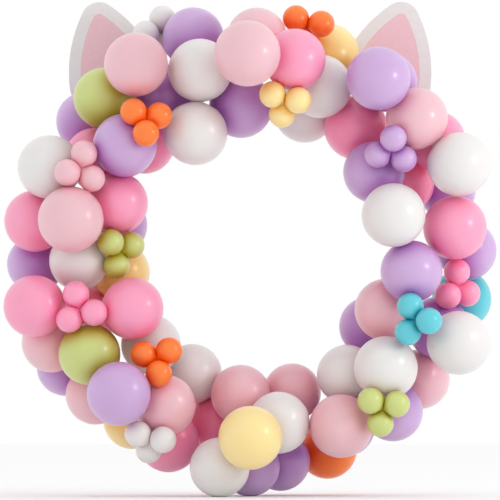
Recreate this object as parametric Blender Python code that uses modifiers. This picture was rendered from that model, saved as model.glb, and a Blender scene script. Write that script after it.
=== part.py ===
"""A closed ring of latex balloons with two cut card ears.

The front of the ring faces -Y and +Z is up. The origin is the top of the ring's core,
where the ring is hung.
"""
import math

import bpy
import numpy as np
from mathutils import Vector

NAME = "balloon_garland"

# Ring
RING_RADIUS = 0.78            # from the ring's centre to its core, where the necks are tied
PLAN_STEP = 0.01              # one unit in or out from the core in the plan below
FRONT_LAYER = -0.22           # centre of a balloon in layer 1, measured from the core
LAYER_STEP = 0.05             # from one layer of the plan to the next, before they settle

# Large balloons, blown to five sizes (diameters)
SLACK_BALLOON = 0.250
SOFT_BALLOON = 0.259
ROUND_BALLOON = 0.268
FULL_BALLOON = 0.276
TIGHT_BALLOON = 0.285
NECK_RADIUS = 0.012
TAIL_LENGTH = 0.030           # from the balloon to the rolled lip, past the knot
LIP_RADIUS = 0.017

# Small balloons, tied in threes
SMALL_BALLOON = 0.113
SMALL_NECK_RADIUS = 0.007

# Cut cards
CARD_THICKNESS = 0.005
EAR_WIDTH = 0.41
EAR_HEIGHT = 0.45
EAR_TIP = 0.080               # radius of the rounded tip
EAR_CORNER = 0.095            # radius of the two lower corners
EAR_SIDE = 0.60               # radius of the bowed sides
EAR_LEAN = math.radians(15)   # outwards from upright
EAR_TURN = math.radians(40)   # round the ring from its top
EAR_OUT = 0.11                # from the core out to the middle of the lower edge

GAP = 0.0003                  # left between things that touch
SIDES = 10                    # facets round a large balloon
BANDS = 5                     # facets from pole to pole of a large balloon
SMALL_SIDES = 8
SMALL_BANDS = 4
EAR_STEPS = 4                 # facets along each arc of an ear

# Colour of each latex and card, its roughness
FINISHES = {
    "white": ((0.76, 0.74, 0.73), 0.30),
    "light_pink": ((0.80, 0.52, 0.56), 0.30),
    "pink": ((0.88, 0.30, 0.46), 0.28),
    "rose": ((0.86, 0.15, 0.28), 0.28),
    "lilac": ((0.56, 0.40, 0.68), 0.28),
    "lime": ((0.58, 0.62, 0.22), 0.28),
    "orange": ((1.00, 0.19, 0.02), 0.28),
    "yellow": ((0.88, 0.60, 0.18), 0.28),
    "turquoise": ((0.10, 0.55, 0.64), 0.26),
    "ear_white": ((0.74, 0.73, 0.73), 0.60),
}

DIAMETERS = {
    1: SLACK_BALLOON,
    2: SOFT_BALLOON,
    3: ROUND_BALLOON,
    4: FULL_BALLOON,
    5: TIGHT_BALLOON,
}

# The plan, clockwise from the top. A balloon is its colour, size, layer from the front,
# and its place across and up from the ring's centre. A pair's front balloon comes first.
PLAN_RADIUS = 78              # where the core runs in the plan, counted in its own units
PAIRS = (
    (("white", 4, 5, 31.0, 74.0), ("white", 3, 7, 24.5, 63.0)),
    (("lilac", 4, 2, 56.5, 77.0), ("lilac", 2, 5, 60.5, 76.0)),
    (("pink", 3, 6, 68.0, 32.0), ("pink", 2, 6, 81.5, 50.0)),
    (("white", 4, 2, 91.5, 40.0), ("light_pink", 3, 3, 73.0, 60.0)),
    (("white", 4, 2, 63.0, 17.0), ("lilac", 3, 5, 54.5, 36.5)),
    (("pink", 4, 4, 90.0, 12.0), ("lilac", 2, 6, 95.5, 2.0)),
    (("lilac", 3, 3, 70.5, -7.0), ("light_pink", 3, 4, 60.0, -24.0)),
    (("lilac", 3, 6, 82.5, -32.0), ("turquoise", 2, 8, 93.5, -19.5)),
    (("white", 4, 3, 59.5, -49.5), ("white", 2, 5, 43.0, -53.0)),
    (("lilac", 2, 4, 62.5, -68.5), ("light_pink", 2, 5, 75.0, -54.5)),
    (("light_pink", 4, 3, 40.0, -75.0), ("lilac", 2, 5, 42.0, -75.5)),
    (("lilac", 2, 6, 13.5, -91.0), ("orange", 2, 6, 34.0, -86.0)),
    (("yellow", 4, 3, 0.0, -80.0), ("white", 3, 5, 12.5, -73.5)),
    (("light_pink", 2, 5, -4.0, -61.5), ("light_pink", 1, 6, 18.5, -60.5)),
    (("white", 2, 6, -13.0, -93.0), ("lilac", 2, 6, 0.0, -93.0)),
    (("pink", 3, 6, -36.0, -82.0), ("pink", 2, 7, -14.5, -74.0)),
    (("lilac", 4, 3, -57.5, -60.5), ("light_pink", 3, 4, -37.5, -66.0)),
    (("white", 2, 5, -43.5, -39.5), ("white", 2, 7, -25.5, -52.5)),
    (("light_pink", 2, 6, -68.0, -61.5), ("lilac", 1, 7, -81.5, -49.5)),
    (("lime", 3, 4, -70.5, -43.5), ("light_pink", 2, 5, -87.0, -38.5)),
    (("pink", 1, 8, -71.5, -27.0), ("white", 2, 8, -64.5, -11.0)),
    (("white", 2, 6, -75.0, -2.5), ("yellow", 1, 6, -57.0, -7.5)),
    (("pink", 3, 5, -94.5, 15.0), ("lilac", 1, 7, -94.5, -4.0)),
    (("light_pink", 5, 3, -78.5, 15.5), ("pink", 3, 4, -58.5, 23.0)),
    (("pink", 3, 6, -68.0, 42.5), ("pink", 2, 7, -46.5, 49.0)),
    (("light_pink", 4, 2, -50.0, 83.5), ("lime", 3, 4, -64.0, 69.0)),
    (("lilac", 3, 6, -37.0, 70.5), ("lilac", 3, 6, -25.0, 95.5)),
    (("white", 4, 2, -24.0, 53.5), ("white", 4, 3, -22.0, 81.0)),
    (("light_pink", 5, 1, -1.0, 88.0), ("pink", 3, 3, 19.5, 85.5)),
)

SINGLES = (
    ("light_pink", 2, 4, 3.0, 95.5),
    ("yellow", 3, 7, 34.5, 88.5),
    ("rose", 4, 6, 46.0, 56.5),
    ("lilac", 1, 7, 87.0, 28.5),
    ("lilac", 2, 7, 52.5, -31.5),
    ("white", 4, 3, 91.5, -38.5),
    ("yellow", 1, 6, -52.0, -73.0),
    ("pink", 3, 3, -94.5, -22.5),
    ("pink", 3, 3, -51.5, -23.5),
    ("lilac", 2, 6, -58.5, 13.0),
    ("white", 4, 5, -88.0, 38.5),
    ("lilac", 2, 7, -72.5, 59.0),
    ("lilac", 4, 3, -55.0, 48.0),
    ("lilac", 4, 5, -4.0, 65.5),
)

# A trio is its colour and three small balloons: layer from the front, across, up.
# Layer 0 is in front of every large balloon and rests back on those behind it.
TRIOS = (
    ("orange", (0, 20.0, 104.0), (0, 31.5, 101.5), (3, 25.5, 98.0)),
    ("yellow", (0, 9.5, 70.5), (0, 21.5, 68.0), (0, 14.0, 61.5)),
    ("lilac", (0, 56.0, 44.0), (0, 62.5, 51.0), (0, 67.5, 42.0)),
    ("pink", (0, 87.0, -18.0), (0, 91.0, -7.0), (0, 95.5, -17.0)),
    ("turquoise", (0, 69.0, -34.0), (0, 78.0, -28.5), (1, 70.5, -22.0)),
    ("lime", (0, 64.5, -65.0), (0, 52.5, -63.5), (0, 57.0, -74.0)),
    ("white", (0, -49.0, -78.5), (0, -38.0, -80.5), (0, -44.5, -85.5)),
    ("orange", (0, -47.0, -43.5), (0, -35.0, -41.5), (0, -40.0, -52.5)),
    ("pink", (0, -68.0, -25.5), (0, -76.5, -17.0), (0, -79.0, -28.0)),
    ("lime", (0, -61.0, 5.5), (0, -59.0, -5.0), (0, -52.0, 4.5)),
    ("light_pink", (0, -72.5, 44.5), (0, -80.5, 36.0), (0, -69.0, 33.5)),
    ("orange", (0, -51.5, 63.0), (0, -39.5, 61.0), (0, -45.5, 53.0)),
    ("white", (7, -46.0, 97.5), (7, -38.5, 104.0), (7, -39.5, 93.5)),
)

SETTLE_ROUNDS = 1000
PLAN_HOLD = 0.6               # pull back to the plan, across and up, in each round
LAYER_HOLD = 0.05             # pull back to the layer in each round
REST_HOLD = 0.02              # pull of a front trio towards what is behind it
TIE_SLACK = 0.015             # length of neck that a tied pair may show
TIE_PULL = 0.1
SIDEWAYS_GIVE = 0.05          # how easily a balloon is pushed across, against 1 front to back
REST_SLACK = 0.003            # balloons closer than this rest on each other


def on_ring(across, up):
    """A place of the plan, kept as far in or out from the core when the ring's radius changes."""
    spot = Vector((across, up))
    return spot.normalized() * (RING_RADIUS + (spot.length - PLAN_RADIUS) * PLAN_STEP)


class Balloon:
    """One balloon of the plan, and where it comes to rest."""

    def __init__(self, colour, diameter, layer, across, up, small=False):
        self.colour = colour
        self.radius = diameter / 2
        self.layer = layer
        self.small = small
        self.place = on_ring(across, up)
        self.centre = None


def plan_balloons():
    """The plan as groups of tied balloons."""
    groups = []
    for pair in PAIRS:
        groups.append([Balloon(c, DIAMETERS[size], *rest) for c, size, *rest in pair])
    for colour, size, *rest in SINGLES:
        groups.append([Balloon(colour, DIAMETERS[size], *rest)])
    for colour, *places in TRIOS:
        groups.append([Balloon(colour, SMALL_BALLOON, *place, small=True) for place in places])
    return groups


def settle(groups):
    """Push overlapping balloons apart, mostly front to back, and keep tied ones touching."""
    balloons = [balloon for group in groups for balloon in group]
    count = len(balloons)
    radius = np.array([balloon.radius for balloon in balloons])
    small = np.array([balloon.small for balloon in balloons])
    layer = np.array([balloon.layer for balloon in balloons], float)
    rests = small & (layer == 0)

    start = np.zeros((count, 3))
    start[:, [0, 2]] = [balloon.place for balloon in balloons]
    start[:, 1] = FRONT_LAYER + LAYER_STEP * (layer - 1)
    start[rests, 1] = FRONT_LAYER - 2 * SMALL_BALLOON
    goal = start.copy()
    goal[rests, 1] = 0.0
    hold = np.tile(np.array([PLAN_HOLD, LAYER_HOLD, PLAN_HOLD]), (count, 1))
    hold[rests, 1] = REST_HOLD

    first, second = np.triu_indices(count, 1)
    number = {id(balloon): index for index, balloon in enumerate(balloons)}
    tied = np.zeros((count, count), bool)
    for group in groups:
        for one in group:
            for other in group:
                tied[number[id(one)], number[id(other)]] = True
    tied = tied[first, second]
    reach = np.where(small[first], 0.0, TIE_SLACK)
    # A large balloon doesn't give way to a small one.
    share = np.full(len(first), 0.5)
    share[small[first] & ~small[second]] = 1.0
    share[~small[first] & small[second]] = 0.0
    apart = radius[first] + radius[second] + GAP * 2.5
    give = np.array([SIDEWAYS_GIVE, 1.0, SIDEWAYS_GIVE])

    spot = start.copy()
    for turn in range(SETTLE_ROUNDS):
        grip = max(0.0, 1.0 - turn / (SETTLE_ROUNDS * 0.85))
        spot += (goal - spot) * hold * grip
        line = spot[second] - spot[first]
        length = np.linalg.norm(line, axis=1)
        short = apart - length
        pulled = tied & (short < -reach) & (grip > 0)
        touching = (short > 0) | pulled
        line = line[touching] / length[touching, None]
        strength = np.where(short > 0, 0.6 * short, TIE_PULL * (short + reach))[touching]
        push = line * give * (strength / (line * line * give).sum(axis=1))[:, None]
        for column in range(3):
            back = push[:, column] * share[touching]
            forth = push[:, column] * (1 - share[touching])
            spot[:, column] -= np.bincount(first[touching], back, count)
            spot[:, column] += np.bincount(second[touching], forth, count)
    lean_together(spot, apart, [index for index, group in enumerate(groups) for _ in group])
    for balloon, where in zip(balloons, spot):
        balloon.centre = Vector(where)


def lean_together(spot, apart, group_numbers):
    """Slide balloons that hang free front to back, until the whole ring leans together."""
    count = len(spot)
    touch = np.zeros((count, count))
    touch[np.triu_indices(count, 1)] = apart
    touch += touch.T
    across = spot[:, None] - spot[None]
    flat = np.hypot(across[..., 0], across[..., 2])
    depth = np.sqrt(np.maximum(touch * touch - flat * flat, 0.0))
    cluster = np.array(group_numbers)
    while True:
        ahead = spot[None, :, 1] - spot[:, None, 1]
        for one, other in np.argwhere(np.hypot(flat, ahead) < touch + REST_SLACK):
            cluster[cluster == cluster[one]] = cluster[other]
        labels, sizes = np.unique(cluster, return_counts=True)
        free = cluster == labels[sizes.argmin()]
        slide = np.abs(ahead) - depth
        slide[~(free[:, None] & ~free[None] & (flat < touch))] = math.inf
        one, other = np.unravel_index(slide.argmin(), slide.shape)
        if slide[one, other] == math.inf:
            return
        spot[free, 1] += math.copysign(slide[one, other], ahead[one, other])


def clear_scene():
    for thing in list(bpy.data.objects):
        bpy.data.objects.remove(thing, do_unlink=True)
    for collection in list(bpy.data.collections):
        bpy.data.collections.remove(collection)


def new_collection(name):
    collection = bpy.data.collections.new(name)
    bpy.context.scene.collection.children.link(collection)
    return collection


def finish(name):
    """The Principled material of one colour, made once."""
    material = bpy.data.materials.get(name)
    if material is None:
        colour, roughness = FINISHES[name]
        material = bpy.data.materials.new(name)
        material.use_nodes = True
        shader = material.node_tree.nodes["Principled BSDF"]
        shader.inputs["Base Color"].default_value = (*colour, 1.0)
        shader.inputs["Roughness"].default_value = roughness
        shader.inputs["Metallic"].default_value = 0.0
        material.diffuse_color = (*colour, 1.0)
    return material


def ball_profile(radius, bands, centre=0.0):
    """Points down a balloon's side, from under its top pole to above its neck."""
    points = []
    for band in range(1, bands):
        angle = math.pi * band / bands
        points.append((radius * math.sin(angle), centre + radius * math.cos(angle)))
    return points


def turned(name, profile, sides, centre, up, collection):
    """An object turned from a profile about its own Z, which points along up."""
    mesh = bpy.data.meshes.new(name)
    points = [(across, 0.0, height) for across, height in profile]
    edges = [(index, index + 1) for index in range(len(points) - 1)]
    mesh.from_pydata(points, edges, [])
    thing = bpy.data.objects.new(name, mesh)
    collection.objects.link(thing)
    thing.location = centre
    thing.rotation_mode = "QUATERNION"
    thing.rotation_quaternion = up.to_track_quat("Z", "Y")
    screw = thing.modifiers.new("Turn", "SCREW")
    screw.axis = "Z"
    screw.angle = 2 * math.pi
    screw.steps = sides
    screw.render_steps = sides
    screw.use_merge_vertices = True
    screw.merge_threshold = 0.0001
    screw.use_smooth_shade = True
    return thing


def make_pair(name, group, collection):
    """Two balloons turned as one, joined at their tied necks."""
    top, bottom = group
    axis = top.centre - bottom.centre
    length = axis.length
    neck = -(top.radius + length - bottom.radius) / 2
    profile = [(0.0, top.radius)]
    profile += ball_profile(top.radius, BANDS)
    profile += [(NECK_RADIUS, neck)]
    profile += ball_profile(bottom.radius, BANDS, -length)
    profile += [(0.0, -length - bottom.radius)]
    thing = turned(name, profile, SIDES, top.centre, axis.normalized(), collection)
    thing.data.materials.append(finish(top.colour))
    return thing


def tail_direction(balloon, others):
    """The way towards the ring's core in which the knotted tail has room."""
    outward = Vector((balloon.centre.x, 0.0, balloon.centre.z)).normalized()
    core = outward * RING_RADIUS - balloon.centre
    best, best_score = None, -math.inf
    tries = 400
    for index in range(tries):
        height = 1 - 2 * (index + 0.5) / tries
        turn = index * math.pi * (3 - math.sqrt(5))
        ring = math.sqrt(1 - height * height)
        way = Vector((ring * math.cos(turn), height, ring * math.sin(turn)))
        room = math.inf
        for part in (0.0, 0.5, 1.0):
            point = balloon.centre + way * (balloon.radius + TAIL_LENGTH * part)
            for other in others:
                if other is not balloon:
                    room = min(room, (point - other.centre).length - other.radius)
        shortage = max(0.0, LIP_RADIUS + 2 * GAP - room) / LIP_RADIUS
        score = way.dot(core.normalized()) + way.y - 20 * shortage
        if score > best_score:
            best, best_score = way, score
    return best


def make_single(name, balloon, others, collection):
    """One balloon with its knot and rolled lip."""
    way = tail_direction(balloon, others)
    profile = [(0.0, balloon.radius)]
    profile += ball_profile(balloon.radius, BANDS)
    profile += [(NECK_RADIUS, -balloon.radius)]
    profile += [(LIP_RADIUS, -balloon.radius - TAIL_LENGTH), (0.0, -balloon.radius - TAIL_LENGTH)]
    thing = turned(name, profile, SIDES, balloon.centre, -way, collection)
    thing.data.materials.append(finish(balloon.colour))
    return thing


def make_trio(name, group, collection, cutters):
    """Three small balloons whose necks meet in one knot."""
    knot = sum((balloon.centre for balloon in group), Vector()) / len(group)
    things = []
    for index, balloon in enumerate(group):
        away = balloon.centre - knot
        reach = -away.length - SMALL_NECK_RADIUS
        profile = [(0.0, balloon.radius)]
        profile += ball_profile(balloon.radius, SMALL_BANDS)
        profile += [(SMALL_NECK_RADIUS, reach), (0.0, reach)]
        where = collection if index == 0 else cutters
        label = name if index == 0 else f"{name}_neighbour_{index}"
        things.append(turned(label, profile, SMALL_SIDES, balloon.centre, away.normalized(), where))
    for neighbour in things[1:]:
        neighbour.hide_render = True
        neighbour.display_type = "WIRE"
        union = things[0].modifiers.new("Tie", "BOOLEAN")
        union.operation = "UNION"
        union.solver = "EXACT"
        union.object = neighbour
    things[0].data.materials.append(finish(group[0].colour))
    return things[0]


def arc(centre, radius, start, end, steps):
    """Points along an arc, both ends included."""
    points = []
    for step in range(steps + 1):
        angle = start + (end - start) * step / steps
        points.append(centre + radius * Vector((math.cos(angle), math.sin(angle))))
    return points


def ear_outline(side):
    """A triangle with round corners and bowed sides that leans out; side is -1 for the left ear."""
    corner = Vector((EAR_WIDTH / 2 - EAR_CORNER, EAR_CORNER))
    tip = Vector((0.0, EAR_HEIGHT - EAR_TIP))
    # The middle of the arc that touches both the corner's circle and the tip's.
    line = tip - corner
    near, far = EAR_SIDE - EAR_CORNER, EAR_SIDE - EAR_TIP
    along = (near ** 2 - far ** 2 + line.length_squared) / (2 * line.length)
    line.normalize()
    middle = corner + along * line + math.sqrt(near ** 2 - along ** 2) * Vector((-line.y, line.x))
    low = math.atan2(corner.y - middle.y, corner.x - middle.x)
    high = math.atan2(tip.y - middle.y, tip.x - middle.x)
    right = arc(corner, EAR_CORNER, -math.pi / 2, low, EAR_STEPS)
    right += arc(middle, EAR_SIDE, low, high, EAR_STEPS)[1:]
    right += arc(tip, EAR_TIP, high, math.pi / 2, EAR_STEPS)[1:]
    left = [Vector((-spot.x, spot.y)) for spot in reversed(right[:-1])]
    foot = Vector((math.sin(EAR_TURN), math.cos(EAR_TURN))) * (RING_RADIUS + EAR_OUT)
    outline = []
    for spot in right + left:
        across = spot.x * math.cos(EAR_LEAN) + spot.y * math.sin(EAR_LEAN)
        up = spot.y * math.cos(EAR_LEAN) - spot.x * math.sin(EAR_LEAN)
        outline.append(Vector(((foot.x + across) * side, foot.y + up)))
    return outline


def distance_inside(spot, outline):
    """How far a spot is from a closed outline, or 0 inside it."""
    inside = False
    nearest = math.inf
    for here, there in zip(outline, outline[1:] + outline[:1]):
        if (here.y > spot.y) != (there.y > spot.y):
            if spot.x < (there.x - here.x) * (spot.y - here.y) / (there.y - here.y) + here.x:
                inside = not inside
        edge = there - here
        t = max(0.0, min(1.0, (spot - here).dot(edge) / edge.length_squared))
        nearest = min(nearest, (here + edge * t - spot).length)
    return 0.0 if inside else nearest


def bulge(balloon, outline):
    """How far a balloon stands out, front or back, over a flat card of this outline."""
    reach = distance_inside(Vector((balloon.centre.x, balloon.centre.z)), outline)
    if reach >= balloon.radius:
        return None
    return math.sqrt(balloon.radius ** 2 - reach ** 2)


def rest_behind(outline, balloons):
    """Where a card's middle plane is when it touches the backs of the balloons that it crosses."""
    reach = [
        balloon.centre.y + depth
        for balloon in balloons
        if (depth := bulge(balloon, outline)) is not None
    ]
    return max(reach) + CARD_THICKNESS / 2 + GAP


def make_card(name, outline, place, colour, collection):
    """A flat card, upright and facing the front, cut to an outline."""
    curve = bpy.data.curves.new(name, "CURVE")
    curve.dimensions = "2D"
    curve.fill_mode = "BOTH"
    curve.extrude = CARD_THICKNESS / 2
    spline = curve.splines.new("POLY")
    spline.points.add(len(outline) - 1)
    for point, spot in zip(spline.points, outline):
        point.co = (spot.x, spot.y, 0.0, 1.0)
    spline.use_cyclic_u = True
    thing = bpy.data.objects.new(name, curve)
    collection.objects.link(thing)
    thing.rotation_euler = (math.pi / 2, 0.0, 0.0)
    thing.location = (0.0, place, 0.0)
    curve.materials.append(finish(colour))
    return thing


def group_name(group, kind, used):
    """A name from the colours and the kind, numbered, such as white_pair_1."""
    colours = []
    for balloon in group:
        if balloon.colour not in colours:
            colours.append(balloon.colour)
    stem = "_and_".join(colours) + "_" + kind
    used[stem] = used.get(stem, 0) + 1
    return f"{stem}_{used[stem]}"


def build():
    clear_scene()
    garland = new_collection(NAME)
    cutters = new_collection(NAME + "_cutters")
    groups = plan_balloons()
    settle(groups)
    balloons = [balloon for group in groups for balloon in group]
    lift = Vector((0.0, 0.0, -RING_RADIUS))
    used = {}
    kinds = {1: "balloon", 2: "pair", 3: "trio"}
    things = []
    for group in groups:
        group.sort(key=lambda balloon: balloon.centre.y)
        name = group_name(group, kinds[len(group)], used)
        if len(group) == 1:
            things.append(make_single(name, group[0], balloons, garland))
        elif len(group) == 2:
            things.append(make_pair(name, group, garland))
        else:
            things.append(make_trio(name, group, garland, cutters))
    things += list(cutters.objects)

    for name, side in (("left_ear", -1), ("right_ear", 1)):
        outline = ear_outline(side)
        things.append(make_card(name, outline, rest_behind(outline, balloons), "ear_white", garland))
    for thing in things:
        thing.location += lift


build()
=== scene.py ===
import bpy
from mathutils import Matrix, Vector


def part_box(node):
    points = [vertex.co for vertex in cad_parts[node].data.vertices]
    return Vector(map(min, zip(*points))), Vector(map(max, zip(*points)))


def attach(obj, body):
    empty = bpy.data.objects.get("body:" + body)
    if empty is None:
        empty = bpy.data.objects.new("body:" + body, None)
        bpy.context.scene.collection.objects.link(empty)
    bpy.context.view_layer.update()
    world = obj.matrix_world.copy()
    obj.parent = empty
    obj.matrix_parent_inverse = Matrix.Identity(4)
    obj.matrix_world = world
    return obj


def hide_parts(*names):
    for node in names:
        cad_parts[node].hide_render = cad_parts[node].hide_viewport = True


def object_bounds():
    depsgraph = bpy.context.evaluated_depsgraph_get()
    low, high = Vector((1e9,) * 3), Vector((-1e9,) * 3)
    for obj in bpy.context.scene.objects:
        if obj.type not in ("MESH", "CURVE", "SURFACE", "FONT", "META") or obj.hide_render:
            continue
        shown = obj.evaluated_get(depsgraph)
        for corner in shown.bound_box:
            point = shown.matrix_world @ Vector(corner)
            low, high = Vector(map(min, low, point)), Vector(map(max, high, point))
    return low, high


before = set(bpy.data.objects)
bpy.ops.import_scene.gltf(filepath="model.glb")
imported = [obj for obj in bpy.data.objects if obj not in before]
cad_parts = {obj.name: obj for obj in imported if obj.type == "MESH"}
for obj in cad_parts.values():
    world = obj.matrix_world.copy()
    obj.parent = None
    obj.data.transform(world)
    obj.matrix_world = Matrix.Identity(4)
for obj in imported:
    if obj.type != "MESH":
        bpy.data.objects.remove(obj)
cad_box = [list(corner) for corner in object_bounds()]

import math

import bmesh
import bpy
import numpy as np
from mathutils import Matrix, Vector
from mathutils.geometry import delaunay_2d_cdt


# Large balloons, tied in pairs
# Each is a latex balloon blown to 25 to 29 cm, stretched thin over its crown and thicker
# at its neck. Two are tied neck to neck, and the pairs are pressed together round the
# ring, so where two skins meet they flatten on each other.
PAIR_RINGS = 40
PAIR_SIDES = 60
PRESSED = 0.0022              # how far a skin would stand past its CAD ball if nothing pressed on it
PRESS_GAP = 0.0002            # left by each skin where two press on each other
NECK = 0.0055                 # radius of the skin where it is tied
NECK_FROM = 0.78              # how far round from crown to neck the skin starts to draw in
NECK_SLIM = 0.35              # how much of its width it loses there
SKIN_WELD = 0.00005
KNOT = 0.0085                 # radius of the lump where two necks are tied
KNOT_RINGS = 10
KNOT_SIDES = 14
KNOT_WAY = (0.0, -1.0, 0.2)   # which way the lump's own crown points
LIP = 0.011                   # radius of the rolled lip at the end of a tail
NECKS_WITHIN = 0.02           # CAD corners nearer than this to the line of a pair are on its necks
CROWNS_WITHIN = 0.05          # but not those nearer than this to either end of that line

# How near to the ball a CAD corner has to be to count, round by round
BALL_LIMITS = (0.03, 0.02, 0.01, 0.006, 0.003, 0.0015, 0.0008, 0.0008)

# From the knot to the lip: how far along the tail, and how wide as a share of the lip
TAIL_PROFILE = (
    (0.0, 0.55), (0.10, 0.80), (0.22, 0.78), (0.34, 0.36), (0.62, 0.48),
    (0.88, 0.84), (0.94, 1.0), (0.98, 0.9), (1.0, 0.0),
)


def skin_points(node):
    """The corners of a CAD node, each once."""
    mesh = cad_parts[node].data
    points = np.array([corner.co for corner in mesh.vertices], float).reshape(-1, 3)
    return np.unique(np.round(points, 6), axis=0)


def ball_through(points):
    """Centre and radius of the ball that most of the points lie on, with a closer limit each round."""
    kept = np.ones(len(points), bool)
    for limit in BALL_LIMITS:
        rows = np.column_stack([2 * points[kept], np.ones(kept.sum())])
        answer = np.linalg.lstsq(rows, (points[kept] ** 2).sum(axis=1), rcond=None)[0]
        centre = answer[:3]
        radius = math.sqrt(answer[3] + centre @ centre)
        kept = np.abs(np.linalg.norm(points - centre, axis=1) - radius) < limit
    return centre, radius


class Balloon:
    """A blown balloon: its colour, place and size, and where its neck is tied."""

    def __init__(self, colour, centre, radius, knot):
        self.colour = colour
        self.centre = np.array(centre)
        self.radius = radius
        self.knot = np.array(knot)
        self.rings = PAIR_RINGS
        self.sides = PAIR_SIDES
        self.neck = NECK
        self.tail = 0.0
        self.tail_rings = 0


def tied_pair(node):
    """The two balloons of a CAD pair, the front one first."""
    points = skin_points(node)
    apart = np.linalg.norm(points[:, None] - points[None], axis=2)
    one, other = np.unravel_index(apart.argmax(), apart.shape)
    line = (points[other] - points[one]) / apart[one, other]
    along = (points - points[one]) @ line
    off = np.linalg.norm(points - points[one] - along[:, None] * line, axis=1)
    between = (along > CROWNS_WITHIN) & (along < apart[one, other] - CROWNS_WITHIN)
    neck = (off < NECKS_WITHIN) & between
    split = along[neck].mean()
    balls = [ball_through(points[~neck & (along < split)]), ball_through(points[~neck & (along > split)])]
    knot = points[one] + line * split
    balls.sort(key=lambda ball: ball[0][1])
    colours = node.rsplit("_pair_", 1)[0].split("_and_")
    return [
        Balloon(colour, centre, radius, knot)
        for colour, (centre, radius) in zip((colours[0], colours[-1]), balls)
    ]


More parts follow.
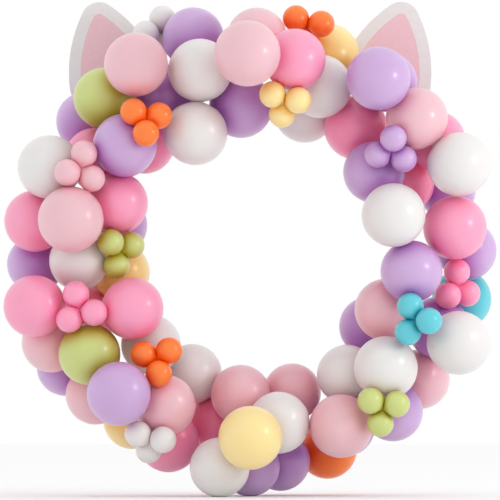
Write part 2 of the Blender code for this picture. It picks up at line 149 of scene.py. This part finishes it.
def blown_tree():
    """Geometry Nodes that turn a balloon from crown to neck, with its tail where it has one."""
    tree = bpy.data.node_groups.new("Blown balloon", "GeometryNodeTree")
    for name, kind, value in (
        ("Radius", "NodeSocketFloat", 0.0),
        ("Reach", "NodeSocketFloat", 0.0),
        ("Neck", "NodeSocketFloat", NECK),
        ("Tail", "NodeSocketFloat", 0.0),
        ("Lip", "NodeSocketFloat", LIP),
        ("Rings", "NodeSocketInt", PAIR_RINGS),
        ("Tail Rings", "NodeSocketInt", 0),
        ("Sides", "NodeSocketInt", PAIR_SIDES),
        ("Latex", "NodeSocketMaterial", None),
    ):
        socket = tree.interface.new_socket(name=name, in_out="INPUT", socket_type=kind)
        if value is not None:
            socket.default_value = value
    tree.interface.new_socket(name="Balloon", in_out="OUTPUT", socket_type="NodeSocketGeometry")
    nodes = tree.nodes
    given = nodes.new("NodeGroupInput").outputs

    def feed(socket, value):
        if isinstance(value, bpy.types.NodeSocket):
            tree.links.new(value, socket)
        else:
            socket.default_value = value

    def math_of(operation, *values):
        node = nodes.new("ShaderNodeMath")
        node.operation = operation
        for socket, value in zip(node.inputs, values):
            feed(socket, value)
        return node.outputs[0]

    index = nodes.new("GeometryNodeInputIndex").outputs[0]
    part = math_of("DIVIDE", index, given["Rings"])
    body_part = math_of("MINIMUM", part, 1.0)
    turn = math_of("MULTIPLY", body_part, math.pi)
    draw = nodes.new("ShaderNodeMapRange")
    draw.interpolation_type = "SMOOTHSTEP"
    feed(draw.inputs["Value"], body_part)
    feed(draw.inputs["From Min"], NECK_FROM)
    feed(draw.inputs["From Max"], 1.0)
    drawn = draw.outputs["Result"]
    longer = math_of("SUBTRACT", given["Reach"], given["Radius"])
    height = math_of("MULTIPLY", given["Radius"], math_of("COSINE", turn))
    height = math_of("SUBTRACT", height, math_of("MULTIPLY", longer, math_of("POWER", drawn, 2.0)))
    round_width = math_of("MULTIPLY", given["Radius"], math_of("SINE", turn))
    slim = math_of("SUBTRACT", 1.0, math_of("MULTIPLY", drawn, NECK_SLIM))
    width = math_of("ADD", math_of("MULTIPLY", round_width, slim), math_of("MULTIPLY", given["Neck"], drawn))

    past = math_of("SUBTRACT", index, given["Rings"])
    tail_part = math_of("MAXIMUM", math_of("DIVIDE", past, math_of("MAXIMUM", given["Tail Rings"], 1.0)), 0.0)
    height = math_of("SUBTRACT", height, math_of("MULTIPLY", given["Tail"], tail_part))
    flare = nodes.new("ShaderNodeFloatCurve")
    shape = flare.mapping.curves[0]
    shape.points[0].location = TAIL_PROFILE[0]
    shape.points[1].location = TAIL_PROFILE[-1]
    for place in TAIL_PROFILE[1:-1]:
        shape.points.new(*place)
    flare.mapping.update()
    feed(flare.inputs["Value"], tail_part)
    in_tail = math_of("GREATER_THAN", past, 0.5)
    tail_width = math_of("MULTIPLY", flare.outputs[0], given["Lip"])
    choose = nodes.new("GeometryNodeSwitch")
    choose.input_type = "FLOAT"
    feed(choose.inputs["Switch"], in_tail)
    feed(choose.inputs["False"], width)
    feed(choose.inputs["True"], tail_width)

    line = nodes.new("GeometryNodeMeshLine")
    count = math_of("ADD", math_of("ADD", given["Rings"], given["Tail Rings"]), 1.0)
    feed(line.inputs["Count"], count)
    place = nodes.new("ShaderNodeCombineXYZ")
    feed(place.inputs["Z"], height)
    keep_width = nodes.new("GeometryNodeStoreNamedAttribute")
    keep_width.data_type = "FLOAT"
    feed(keep_width.inputs["Name"], "width")
    feed(keep_width.inputs["Value"], choose.outputs[0])
    feed(keep_width.inputs["Geometry"], line.outputs["Mesh"])
    keep_part = nodes.new("GeometryNodeStoreNamedAttribute")
    keep_part.data_type = "FLOAT"
    feed(keep_part.inputs["Name"], "along")
    feed(keep_part.inputs["Value"], part)
    feed(keep_part.inputs["Geometry"], keep_width.outputs["Geometry"])
    move = nodes.new("GeometryNodeSetPosition")
    feed(move.inputs["Geometry"], keep_part.outputs["Geometry"])
    feed(move.inputs["Position"], place.outputs[0])
    path = nodes.new("GeometryNodeMeshToCurve")
    feed(path.inputs["Mesh"], move.outputs[0])
    width_again = nodes.new("GeometryNodeInputNamedAttribute")
    width_again.data_type = "FLOAT"
    feed(width_again.inputs["Name"], "width")
    ring = nodes.new("GeometryNodeCurvePrimitiveCircle")
    feed(ring.inputs["Resolution"], given["Sides"])
    feed(ring.inputs["Radius"], 1.0)
    skin = nodes.new("GeometryNodeCurveToMesh")
    feed(skin.inputs["Curve"], path.outputs[0])
    feed(skin.inputs["Scale"], width_again.outputs["Attribute"])
    feed(skin.inputs["Profile Curve"], ring.outputs[0])
    feed(skin.inputs["Fill Caps"], True)
    weld = nodes.new("GeometryNodeMergeByDistance")
    feed(weld.inputs["Geometry"], skin.outputs[0])
    feed(weld.inputs["Distance"], SKIN_WELD)
    soft = nodes.new("GeometryNodeSetShadeSmooth")
    feed(soft.inputs["Geometry"], weld.outputs[0])
    real = nodes.new("GeometryNodeRealizeInstances")
    feed(real.inputs["Geometry"], soft.outputs[0])
    paint = nodes.new("GeometryNodeSetMaterial")
    feed(paint.inputs["Geometry"], real.outputs[0])
    feed(paint.inputs["Material"], given["Latex"])
    out = nodes.new("NodeGroupOutput")
    feed(out.inputs["Balloon"], paint.outputs[0])
    return tree


BLOWN = blown_tree()
BLOWN_INPUT = {item.name: item.identifier for item in BLOWN.interface.items_tree if item.in_out == "INPUT"}

# Colour over the crown, and the deeper colour where the skin is thick at the neck; the same deeper colour is
# painted shade where other balloons crowd it, in the creases between them
LATEX = {
    "white": ((0.78, 0.765, 0.755), (0.78, 0.71, 0.70)),
    "light_pink": ((0.82, 0.53, 0.58), (0.86, 0.42, 0.48)),
    "pink": ((0.93, 0.37, 0.54), (0.96, 0.24, 0.42)),
    "rose": ((1.00, 0.36, 0.55), (1.00, 0.25, 0.43)),
    "lilac": ((0.61, 0.42, 0.69), (0.44, 0.17, 0.53)),
    "lime": ((0.60, 0.67, 0.25), (0.47, 0.41, 0.03)),
    "orange": ((1.00, 0.23, 0.03), (0.96, 0.13, 0.005)),
    "yellow": ((0.95, 0.76, 0.36), (0.92, 0.57, 0.15)),
    "turquoise": ((0.13, 0.61, 0.69), (0.03, 0.37, 0.47)),
}


def latex_finish(colour):
    """Thin latex: light soaks into it, and it is deeper at the neck, with painted shade in the crowded
    creases.
    """
    crown, neck_and_shade_colour = LATEX[colour]
    material = bpy.data.materials.new("latex_" + colour)
    material.use_nodes = True
    nodes, links = material.node_tree.nodes, material.node_tree.links
    skin = nodes["Principled BSDF"]
    skin.inputs["Metallic"].default_value = 0.0
    skin.inputs["Subsurface Weight"].default_value = 0.55
    skin.inputs["Subsurface Radius"].default_value = tuple(0.25 + 0.75 * value for value in crown)
    skin.inputs["Subsurface Scale"].default_value = 0.035
    skin.inputs["Specular IOR Level"].default_value = 0.5
    skin.inputs["Coat Weight"].default_value = 0.15
    skin.inputs["Coat Roughness"].default_value = 0.18

    along = nodes.new("ShaderNodeAttribute")
    along.attribute_name = "along"
    thick = nodes.new("ShaderNodeMapRange")
    thick.interpolation_type = "SMOOTHSTEP"
    thick.inputs["From Min"].default_value = 0.70
    thick.inputs["From Max"].default_value = 1.0
    links.new(along.outputs["Fac"], thick.inputs["Value"])
    place = nodes.new("ShaderNodeTexCoord")
    cloud = nodes.new("ShaderNodeTexNoise")
    cloud.inputs["Scale"].default_value = 9.0
    cloud.inputs["Detail"].default_value = 1.0
    links.new(place.outputs["Object"], cloud.inputs["Vector"])
    cloudy = nodes.new("ShaderNodeMapRange")
    cloudy.inputs["From Min"].default_value = 0.2
    cloudy.inputs["From Max"].default_value = 0.8
    cloudy.inputs["To Max"].default_value = 0.07
    links.new(cloud.outputs["Fac"], cloudy.inputs["Value"])
    # painted shade: darker, deeper colour where neighbours cover the skin's sky, in the creases
    crease_shading = nodes.new("ShaderNodeAttribute")
    crease_shading.attribute_name = "painted_crease_shade"
    painted_crease_shade = nodes.new("ShaderNodeMapRange")
    painted_crease_shade.inputs["From Min"].default_value = 0.12
    painted_crease_shade.inputs["From Max"].default_value = 0.78
    links.new(crease_shading.outputs["Fac"], painted_crease_shade.inputs["Value"])
    neck_or_shade = nodes.new("ShaderNodeMath")
    neck_or_shade.operation = "MAXIMUM"
    links.new(thick.outputs["Result"], neck_or_shade.inputs[0])
    links.new(painted_crease_shade.outputs["Result"], neck_or_shade.inputs[1])
    both = nodes.new("ShaderNodeMath")
    both.use_clamp = True
    links.new(neck_or_shade.outputs[0], both.inputs[0])
    links.new(cloudy.outputs["Result"], both.inputs[1])
    # crown colour towards the deeper colour at the thick neck, and towards painted shade in the creases
    tint = nodes.new("ShaderNodeMix")
    tint.data_type = "RGBA"
    tint.inputs["A"].default_value = (*crown, 1.0)
    tint.inputs["B"].default_value = (*neck_and_shade_colour, 1.0)
    links.new(both.outputs[0], tint.inputs["Factor"])
    links.new(tint.outputs["Result"], skin.inputs["Base Color"])

    smear = nodes.new("ShaderNodeTexNoise")
    smear.inputs["Scale"].default_value = 7.0
    smear.inputs["Detail"].default_value = 0.0
    links.new(place.outputs["Object"], smear.inputs["Vector"])
    gloss = nodes.new("ShaderNodeMapRange")
    gloss.inputs["To Min"].default_value = 0.285
    gloss.inputs["To Max"].default_value = 0.335
    links.new(smear.outputs["Fac"], gloss.inputs["Value"])
    links.new(gloss.outputs["Result"], skin.inputs["Roughness"])
    grain = nodes.new("ShaderNodeTexNoise")
    grain.inputs["Scale"].default_value = 400.0
    grain.inputs["Detail"].default_value = 1.0
    links.new(place.outputs["Object"], grain.inputs["Vector"])
    bump = nodes.new("ShaderNodeBump")
    bump.inputs["Strength"].default_value = 0.03
    bump.inputs["Distance"].default_value = 0.0001
    links.new(grain.outputs["Fac"], bump.inputs["Height"])
    links.new(bump.outputs["Normal"], skin.inputs["Normal"])
    return material


FINISH = {colour: latex_finish(colour) for colour in LATEX}


def blow(colour, **sizes):
    """One balloon or knot out of the tree, as a plain mesh, crown up and neck down."""
    base = bpy.data.meshes.new("unblown")
    thing = bpy.data.objects.new("unblown", base)
    bpy.context.scene.collection.objects.link(thing)
    modifier = thing.modifiers.new("Blown balloon", "NODES")
    modifier.node_group = BLOWN
    for name, value in sizes.items():
        modifier[BLOWN_INPUT[name.replace("_", " ")]] = value
    modifier[BLOWN_INPUT["Latex"]] = FINISH[colour]
    seen = thing.evaluated_get(bpy.context.evaluated_depsgraph_get())
    mesh = bpy.data.meshes.new_from_object(seen)
    bpy.data.objects.remove(thing)
    bpy.data.meshes.remove(base)
    return mesh


def place_skin(mesh, centre, away):
    """Turn a blown mesh so its crown points away from the knot, and put it in its place."""
    turn = Vector(away).to_track_quat("Z", "Y").to_matrix().to_4x4()
    mesh.transform(Matrix.Translation(Vector(centre)) @ turn)


PLACED = []                   # every balloon of the garland, which press on each other
CARDS = []                    # front plane of each card behind the balloons, with the sides of its outline
EDGE_ROOM = 0.016             # how far past a card's edge a skin stays flat: just over the width of its faces
EDGE_SLOPE = 3.0              # how steeply it bulges back beyond that
SHADE_REACH = 0.75            # balloons whose centres are further apart don't shade each other's creases
SHADE_WRAP = 0.15             # how much a neighbour still covers of a skin that is side on to it, for the painted shade


def card_sides(node):
    """The sides of a CAD card's outline, seen from the front: which way each faces, and how far out it is."""
    flat = np.unique(np.round(skin_points(node)[:, [0, 2]], 5), axis=0)
    from_middle = flat - flat.mean(axis=0)
    flat = flat[np.argsort(np.arctan2(from_middle[:, 1], from_middle[:, 0]))]
    run = np.roll(flat, -1, axis=0) - flat
    out = np.column_stack([run[:, 1], -run[:, 0]]) / np.linalg.norm(run, axis=1)[:, None]
    return out, (out * flat).sum(axis=1)


def skin_spots(mesh):
    """The corners of a placed skin, one to a row."""
    spots = np.empty(len(mesh.vertices) * 3)
    mesh.vertices.foreach_get("co", spots)
    return spots.reshape(-1, 3)


def press(mesh, balloon):
    """Flatten a skin where its neighbours and the cards behind it press on it."""
    spots = skin_spots(mesh)
    reach = balloon.radius + PRESSED
    for other in PLACED:
        if other is balloon:
            continue
        line = other.centre - balloon.centre
        length = np.linalg.norm(line)
        other_reach = other.radius + PRESSED
        if length >= reach + other_reach:
            continue
        line /= length
        flat = (length * length + reach * reach - other_reach * other_reach) / (2 * length) - PRESS_GAP
        past = (spots - balloon.centre) @ line - flat
        spots -= np.maximum(past, 0.0)[:, None] * line
    for plane, out, edge in CARDS:
        if balloon.centre[1] > plane:
            continue
        outside = (spots[:, [0, 2]] @ out.T - edge).max(axis=1)
        furthest = plane - PRESS_GAP + EDGE_SLOPE * np.maximum(outside - EDGE_ROOM, 0.0)
        spots[:, 1] = np.minimum(spots[:, 1], furthest)
    mesh.vertices.foreach_set("co", spots.ravel())


def crease_shading(mesh, balloon):
    """Note how much of the sky over each corner of a skin its neighbours cover, as the amount of painted
    shade in its creases.
    """
    spots = skin_spots(mesh)
    out = spots - balloon.centre
    out /= np.linalg.norm(out, axis=1)[:, None]
    clear = np.ones(len(spots))
    for other in PLACED:
        if other is balloon or np.linalg.norm(other.centre - balloon.centre) > SHADE_REACH:
            continue
        line = other.centre - spots
        length = np.maximum(np.linalg.norm(line, axis=1), other.radius)
        towards = (out * line).sum(axis=1) / length
        facing = np.clip(SHADE_WRAP + (1 - SHADE_WRAP) * towards, 0.0, 1.0)
        clear *= 1 - facing * (other.radius / length) ** 2
    # the latex paints this as shade: darker and deeper in colour where the sky is covered
    mesh.attributes.new("painted_crease_shade", "FLOAT", "POINT").data.foreach_set("value", 1 - clear)


def skins_of(balloons):
    """The pressed skins of balloons that are tied together, as placed meshes."""
    meshes = []
    for balloon in balloons:
        line = balloon.knot - balloon.centre
        reach = np.linalg.norm(line)
        radius = balloon.radius + PRESSED
        mesh = blow(
            balloon.colour, Radius=radius, Reach=max(reach, radius), Neck=balloon.neck, Tail=balloon.tail,
            Rings=balloon.rings, Tail_Rings=balloon.tail_rings, Sides=balloon.sides,
        )
        place_skin(mesh, balloon.centre, -line)
        press(mesh, balloon)
        crease_shading(mesh, balloon)
        meshes.append(mesh)
    return meshes


def one_piece(name, meshes):
    """Join placed meshes into one piece that keeps each one's finish."""
    joined = bmesh.new()
    finishes = []
    for mesh in meshes:
        start = len(joined.faces)
        joined.from_mesh(mesh)
        joined.faces.ensure_lookup_table()
        mine = []
        for material in mesh.materials:
            if material not in finishes:
                finishes.append(material)
            mine.append(finishes.index(material))
        for face in joined.faces[start:]:
            face.material_index = mine[face.material_index]
            face.smooth = True
        bpy.data.meshes.remove(mesh)
    bmesh.ops.recalc_face_normals(joined, faces=joined.faces)
    whole = bpy.data.meshes.new(name)
    joined.to_mesh(whole)
    joined.free()
    for material in finishes:
        whole.materials.append(material)
    piece = bpy.data.objects.new(name, whole)
    bpy.context.scene.collection.objects.link(piece)
    return piece


def knot_mesh(colour, place, size):
    """The tight lump where necks are tied."""
    mesh = blow(
        colour, Radius=size, Reach=size, Neck=0.0, Tail=0.0,
        Rings=KNOT_RINGS, Tail_Rings=0, Sides=KNOT_SIDES,
    )
    place_skin(mesh, place, KNOT_WAY)
    return mesh


def hand_over(piece, node):
    """A finished piece takes the place of its CAD node."""
    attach(piece, "root")
    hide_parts(node)


pairs = {node: tied_pair(node) for node in sorted(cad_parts) if "_pair_" in node}
for tied in pairs.values():
    PLACED.extend(tied)


# Single balloons
# Latex balloons of the same sizes that fill the gaps between the pairs. Each is closed
# with its own knot, and its short tail with the rolled lip points in towards the core.
TAIL = 0.027                  # from the ball to the end of the lip
TAIL_START = 0.004            # from the ball to the knot
TAIL_PAST = 0.01              # CAD corners further than this past the ball are on the tail
TAIL_RINGS = 24


def single_balloon(node):
    """The balloon of a CAD single, with its knot on the side of its tail."""
    points = skin_points(node)
    centre, radius = ball_through(points)
    tail = points[np.linalg.norm(points - centre, axis=1) > radius + TAIL_PAST].mean(axis=0) - centre
    knot = centre + tail / np.linalg.norm(tail) * (radius + TAIL_START)
    balloon = Balloon(node.rsplit("_balloon_", 1)[0], centre, radius, knot)
    balloon.tail = TAIL - TAIL_START
    balloon.tail_rings = TAIL_RINGS
    return [balloon]


singles = {node: single_balloon(node) for node in sorted(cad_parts) if "_balloon_" in node}
for tied in singles.values():
    PLACED.extend(tied)


# Small balloons, tied in threes
# Latex balloons of about 11 cm, blown tight. Three are tied neck to neck to one knot, and
# the trio is set on the large balloons like a flower.
SMALL_RINGS = 26
SMALL_SIDES = 36
SMALL_NECK = 0.0035
SMALL_KNOT = 0.0055
SMALL_NECKS_WITHIN = 0.055    # CAD corners nearer than this to the middle of a trio are on its necks
TRIO_ROUNDS = 6               # times that each corner is given to the nearest of the three


def tied_trio(node):
    """The three balloons of a CAD trio, from the skin that stands well away from the knot."""
    points = skin_points(node)
    points = points[np.linalg.norm(points - points.mean(axis=0), axis=1) > SMALL_NECKS_WITHIN]
    seeds = [points[np.linalg.norm(points - points.mean(axis=0), axis=1).argmax()]]
    for _ in range(2):
        nearest = np.min([np.linalg.norm(points - seed, axis=1) for seed in seeds], axis=0)
        seeds.append(points[nearest.argmax()])
    seeds = np.array(seeds)
    for _ in range(TRIO_ROUNDS):
        mine = np.linalg.norm(points[:, None] - seeds[None], axis=2).argmin(axis=1)
        balls = [ball_through(points[mine == number]) for number in range(3)]
        seeds = np.array([centre for centre, radius in balls])
    knot = seeds.mean(axis=0)
    colour = node.rsplit("_trio_", 1)[0]
    trio = [Balloon(colour, centre, radius, knot) for centre, radius in balls]
    for balloon in trio:
        balloon.rings = SMALL_RINGS
        balloon.sides = SMALL_SIDES
        balloon.neck = SMALL_NECK
    return trio


trios = {node: tied_trio(node) for node in sorted(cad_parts) if "_trio_" in node}
for tied in trios.values():
    PLACED.extend(tied)

for node in ("left_ear", "right_ear"):
    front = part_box(node)[0].y
    CARDS.append((front, *card_sides(node)))

for node, tied in pairs.items():
    knot = knot_mesh(tied[0].colour, tied[0].knot, KNOT)
    hand_over(one_piece("tied_" + node, skins_of(tied) + [knot]), node)
for node, tied in singles.items():
    hand_over(one_piece("knotted_" + node, skins_of(tied)), node)
for node, tied in trios.items():
    knot = knot_mesh(tied[0].colour, tied[0].knot, SMALL_KNOT)
    hand_over(one_piece("tied_" + node, skins_of(tied) + [knot]), node)


# Ears
# Stiff white card cut with a knife to a triangle with round corners and bowed sides. A
# pale pink middle is printed on the front, inside an even rim. The base stands behind the
# top balloons, and the backmost of them lie flat on the card.
CARD_EDGE = 0.0007            # how far the cut edges are eased
CARD_WELD = 0.000005
CARD_TOUCH = 0.000001         # points of an outline nearer than this are one
CORE_RADIUS = 0.78            # from the ring's centre to where the necks are tied
EAR_WIDTH = 0.41
EAR_HEIGHT = 0.45
EAR_TIP = 0.080               # radius of the rounded tip
EAR_CORNER = 0.095            # radius of the two lower corners
EAR_SIDE = 0.60               # radius of the bowed sides
EAR_LEAN = math.radians(15)   # outwards from upright
EAR_TURN = math.radians(40)   # round the ring from its top
EAR_OUT = 0.11                # from the core out to the middle of the lower edge
EAR_RIM = 0.052               # white left round the printed middle
EAR_ROUND_STEPS = 20          # straight steps along the tip and each corner
EAR_SIDE_STEPS = 24


def arc(centre, radius, start, end, steps):
    """Points along an arc, both ends included."""
    points = []
    for step in range(steps + 1):
        angle = start + (end - start) * step / steps
        points.append(centre + radius * Vector((math.cos(angle), math.sin(angle))))
    return points


def ear_outline(side, rim):
    """The outline of an ear at a distance inside its cut edge; side is -1 for the left ear."""
    corner = Vector((EAR_WIDTH / 2 - EAR_CORNER, EAR_CORNER))
    tip = Vector((0.0, EAR_HEIGHT - EAR_TIP))
    line = tip - corner
    near, far = EAR_SIDE - EAR_CORNER, EAR_SIDE - EAR_TIP
    along = (near ** 2 - far ** 2 + line.length_squared) / (2 * line.length)
    line.normalize()
    middle = corner + along * line + math.sqrt(near ** 2 - along ** 2) * Vector((-line.y, line.x))
    low = math.atan2(corner.y - middle.y, corner.x - middle.x)
    high = math.atan2(tip.y - middle.y, tip.x - middle.x)
    right = arc(corner, EAR_CORNER - rim, -math.pi / 2, low, EAR_ROUND_STEPS)
    right += arc(middle, EAR_SIDE - rim, low, high, EAR_SIDE_STEPS)[1:]
    right += arc(tip, EAR_TIP - rim, high, math.pi / 2, EAR_ROUND_STEPS)[1:]
    left = [Vector((-spot.x, spot.y)) for spot in reversed(right[:-1])]
    foot = Vector((math.sin(EAR_TURN), math.cos(EAR_TURN))) * (CORE_RADIUS + EAR_OUT)
    outline = []
    for spot in right + left:
        across = spot.x * math.cos(EAR_LEAN) + spot.y * math.sin(EAR_LEAN)
        up = spot.y * math.cos(EAR_LEAN) - spot.x * math.sin(EAR_LEAN)
        outline.append(Vector(((foot.x + across) * side, foot.y + up - CORE_RADIUS)))
    return outline


def doubled_area(outline):
    """Twice the area inside an outline, positive where it runs anticlockwise."""
    return sum(before.x * here.y - here.x * before.y for before, here in zip(outline[-1:] + outline, outline))


def inset(outline, by):
    """The outline moved in by a small distance."""
    count = len(outline)
    area = doubled_area(outline)
    moved = []
    for index in range(count):
        one = (outline[index] - outline[index - 1]).normalized()
        two = (outline[(index + 1) % count] - outline[index]).normalized()
        way = (one + two).normalized()
        inward = Vector((-way.y, way.x)) * (1 if area > 0 else -1)
        moved.append(outline[index] + inward * by / way.dot(one))
    return moved


def card_piece(name, outline, low_y, high_y, middle, finishes):
    """A cut card with eased edges and a printed middle on its front."""
    card = bmesh.new()
    inner = inset(outline, CARD_EDGE)
    rings = []
    for line, depth in (
        (inner, low_y), (outline, low_y + CARD_EDGE), (outline, high_y - CARD_EDGE), (inner, high_y)
    ):
        rings.append([card.verts.new((point.x, depth, point.y)) for point in line])
    count = len(outline)
    for near, far in zip(rings, rings[1:]):
        for index in range(count):
            following = (index + 1) % count
            card.faces.new((near[index], near[following], far[following], far[index]))
    for depth, printed in ((low_y, middle), (high_y, None)):
        faces = [list(range(count))]
        spots = list(inner)
        if printed:
            faces.append(list(range(count, count + len(printed))))
            spots += printed
        for face in faces:
            if doubled_area([spots[index] for index in face]) < 0:
                face.reverse()
        made = delaunay_2d_cdt(spots, [], faces, 1, CARD_TOUCH)
        corners = [card.verts.new((spot.x, depth, spot.y)) for spot in made[0]]
        for face, inside in zip(made[2], made[5]):
            flat = card.faces.new([corners[index] for index in face])
            flat.material_index = 1 if 1 in inside else 0
    bmesh.ops.remove_doubles(card, verts=card.verts, dist=CARD_WELD)
    bmesh.ops.recalc_face_normals(card, faces=card.faces)
    mesh = bpy.data.meshes.new(name)
    card.to_mesh(mesh)
    card.free()
    for finish in finishes:
        mesh.materials.append(finish)
    piece = bpy.data.objects.new(name, mesh)
    bpy.context.scene.collection.objects.link(piece)
    return piece


def card_finish(name, colour, shade):
    """Matt card: faint fibres in its colour and its surface."""
    material = bpy.data.materials.new(name)
    material.use_nodes = True
    nodes, links = material.node_tree.nodes, material.node_tree.links
    paper = nodes["Principled BSDF"]
    paper.inputs["Metallic"].default_value = 0.0
    paper.inputs["Specular IOR Level"].default_value = 0.35
    place = nodes.new("ShaderNodeTexCoord")
    fibre = nodes.new("ShaderNodeTexNoise")
    fibre.inputs["Scale"].default_value = 60.0
    fibre.inputs["Detail"].default_value = 5.0
    fibre.inputs["Roughness"].default_value = 0.6
    links.new(place.outputs["Object"], fibre.inputs["Vector"])
    spread = nodes.new("ShaderNodeMapRange")
    spread.inputs["From Min"].default_value = 0.3
    spread.inputs["From Max"].default_value = 0.7
    links.new(fibre.outputs["Fac"], spread.inputs["Value"])
    tint = nodes.new("ShaderNodeMix")
    tint.data_type = "RGBA"
    tint.inputs["A"].default_value = (*colour, 1.0)
    tint.inputs["B"].default_value = (*shade, 1.0)
    links.new(spread.outputs["Result"], tint.inputs["Factor"])
    links.new(tint.outputs["Result"], paper.inputs["Base Color"])
    matt = nodes.new("ShaderNodeMapRange")
    matt.inputs["To Min"].default_value = 0.56
    matt.inputs["To Max"].default_value = 0.68
    links.new(fibre.outputs["Fac"], matt.inputs["Value"])
    links.new(matt.outputs["Result"], paper.inputs["Roughness"])
    bump = nodes.new("ShaderNodeBump")
    bump.inputs["Strength"].default_value = 0.08
    bump.inputs["Distance"].default_value = 0.0005
    links.new(fibre.outputs["Fac"], bump.inputs["Height"])
    links.new(bump.outputs["Normal"], paper.inputs["Normal"])
    return material


ear_white = card_finish("card_white", (0.79, 0.775, 0.77), (0.75, 0.735, 0.73))
ear_pink = card_finish("card_pink", (0.83, 0.56, 0.61), (0.80, 0.52, 0.57))
for node, side in (("left_ear", -1), ("right_ear", 1)):
    low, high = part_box(node)
    outline, printed = ear_outline(side, 0.0), ear_outline(side, EAR_RIM)
    hand_over(card_piece("cut_" + node, outline, low.y, high.y, printed, (ear_white, ear_pink)), node)


# Studio
# A round pale floor just under the garland, even white light all round, and one soft light
# from the right and a little above, which leaves a small highlight on each balloon.
FLOOR_DROP = 0.012            # how far the floor is under the lowest balloon of the CAD model
FLOOR_RADIUS = 16.0
FLOOR_SIDES = 128
LIGHT_WAY = (0.86, -0.46, 0.26)
LIGHT_AWAY = 7.0
LIGHT_SIDE = 1.1
LIGHT_POWER = 85.0
CAMERA_AWAY = 60.0
FRAME_SIDE = 2.2              # height and width of the picture at the garland
FRAME_MIDDLE = -0.758         # height of the middle of the picture
SENSOR = 36.0                 # in millimetres, as the lens below
VIEW_DEPTH = 200.0

low_corner, high_corner = Vector(cad_box[0]), Vector(cad_box[1])
floor_mesh = bpy.data.meshes.new("floor")
ring = bmesh.new()
bmesh.ops.create_circle(ring, cap_ends=True, segments=FLOOR_SIDES, radius=FLOOR_RADIUS)
bmesh.ops.translate(ring, verts=ring.verts, vec=(0.0, 0.0, low_corner.z - FLOOR_DROP))
ring.to_mesh(floor_mesh)
ring.free()
floor = bpy.data.objects.new("floor", floor_mesh)
bpy.context.scene.collection.objects.link(floor)
pale = bpy.data.materials.new("pale_floor")
pale.use_nodes = True
plain = pale.node_tree.nodes["Principled BSDF"]
plain.inputs["Base Color"].default_value = (0.96, 0.96, 0.96, 1.0)
plain.inputs["Roughness"].default_value = 0.9
floor_mesh.materials.append(pale)

world = bpy.data.worlds.new("studio")
world.use_nodes = True
all_round = world.node_tree.nodes["Background"]
all_round.inputs["Color"].default_value = (1.0, 1.0, 1.0, 1.0)
all_round.inputs["Strength"].default_value = 1.0
bpy.context.scene.world = world

middle = Vector((0.0, 0.0, (low_corner.z + high_corner.z) / 2))
way = Vector(LIGHT_WAY).normalized()
soft = bpy.data.lights.new("soft_light", "AREA")
soft.size = LIGHT_SIDE
soft.energy = LIGHT_POWER
lamp = bpy.data.objects.new("soft_light", soft)
lamp.location = middle + way * LIGHT_AWAY
lamp.rotation_mode = "QUATERNION"
lamp.rotation_quaternion = way.to_track_quat("Z", "Y")
bpy.context.scene.collection.objects.link(lamp)

lens = bpy.data.cameras.new("camera")
lens.sensor_width = SENSOR
lens.lens = SENSOR * CAMERA_AWAY / FRAME_SIDE
lens.clip_end = VIEW_DEPTH
camera = bpy.data.objects.new("camera", lens)
camera.location = (0.0, -CAMERA_AWAY, FRAME_MIDDLE)
camera.rotation_euler = (math.pi / 2, 0.0, 0.0)
bpy.context.scene.collection.objects.link(camera)
bpy.context.scene.camera = camera
bpy.context.scene.view_settings.view_transform = "Standard"
